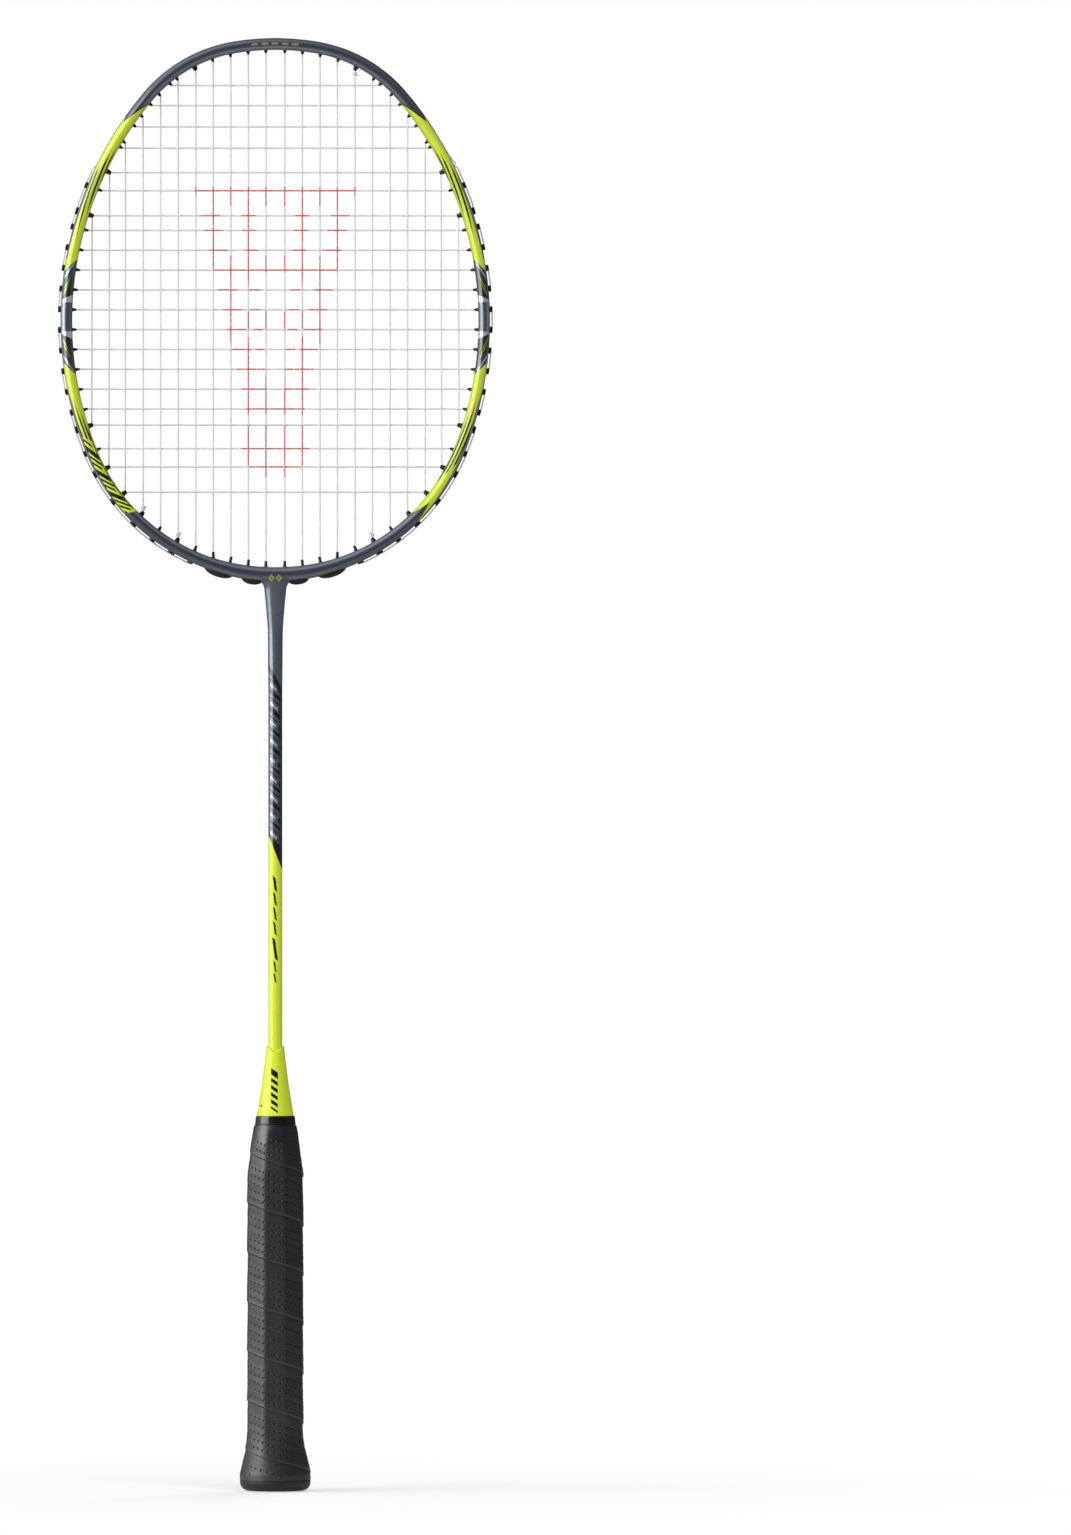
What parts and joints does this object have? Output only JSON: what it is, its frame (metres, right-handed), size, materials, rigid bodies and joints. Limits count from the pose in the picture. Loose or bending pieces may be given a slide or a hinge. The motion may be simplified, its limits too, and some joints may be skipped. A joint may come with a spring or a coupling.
{
  "type": "badminton racket",
  "caption": "Strung badminton racket with an oval hollow head frame, straight shaft, cone cap and perforated taped grip.",
  "frame": {"origin": "centre of the flat face at the butt end of the handle", "axes": "+Z along the handle and shaft towards the head, +X across the string bed, -Y out of the front face of the string bed"},
  "size_m": [0.2023, 0.033, 0.6751],
  "materials": {
    "frame_paint": "gloss",
    "core_plastic": "satin",
    "shaft_paint": "gloss",
    "plug_plastic": "matte",
    "cone_plastic": "gloss",
    "band_tape": "gloss",
    "handle_wood": "matte",
    "grip": "satin",
    "butt_plastic": "satin",
    "butt_plate": "satin",
    "staple_brass": "satin",
    "string": "satin",
    "saddle_rubber": "matte",
    "grommet_nylon": "satin"
  },
  "bodies": {
    "root": {"head_frame": "frame_paint", "t_joint_core": "core_plastic", "shaft": "shaft_paint", "shaft_end_plug": "plug_plastic", "cone_cap": "cone_plastic", "finishing_band": "band_tape", "handle_core": "handle_wood", "grip_tape": "grip", "butt_cap": "butt_plastic", "butt_plate": "butt_plate", "butt_staple": "staple_brass", "main_string": "string", "cross_string": "string", "string_knots": "string", "grommets_crown": "grommet_nylon", "grommets_shoulder_left": "grommet_nylon", "grommets_shoulder_right": "grommet_nylon", "grommets_side_left": "grommet_nylon", "grommets_side_right": "grommet_nylon", "grommets_shared": "grommet_nylon", "grommets_tie_off": "grommet_nylon", "grommets_lower": "grommet_nylon", "grommets_throat": "grommet_nylon", "throat_saddles": "saddle_rubber"}
  },
  "joints": []
}
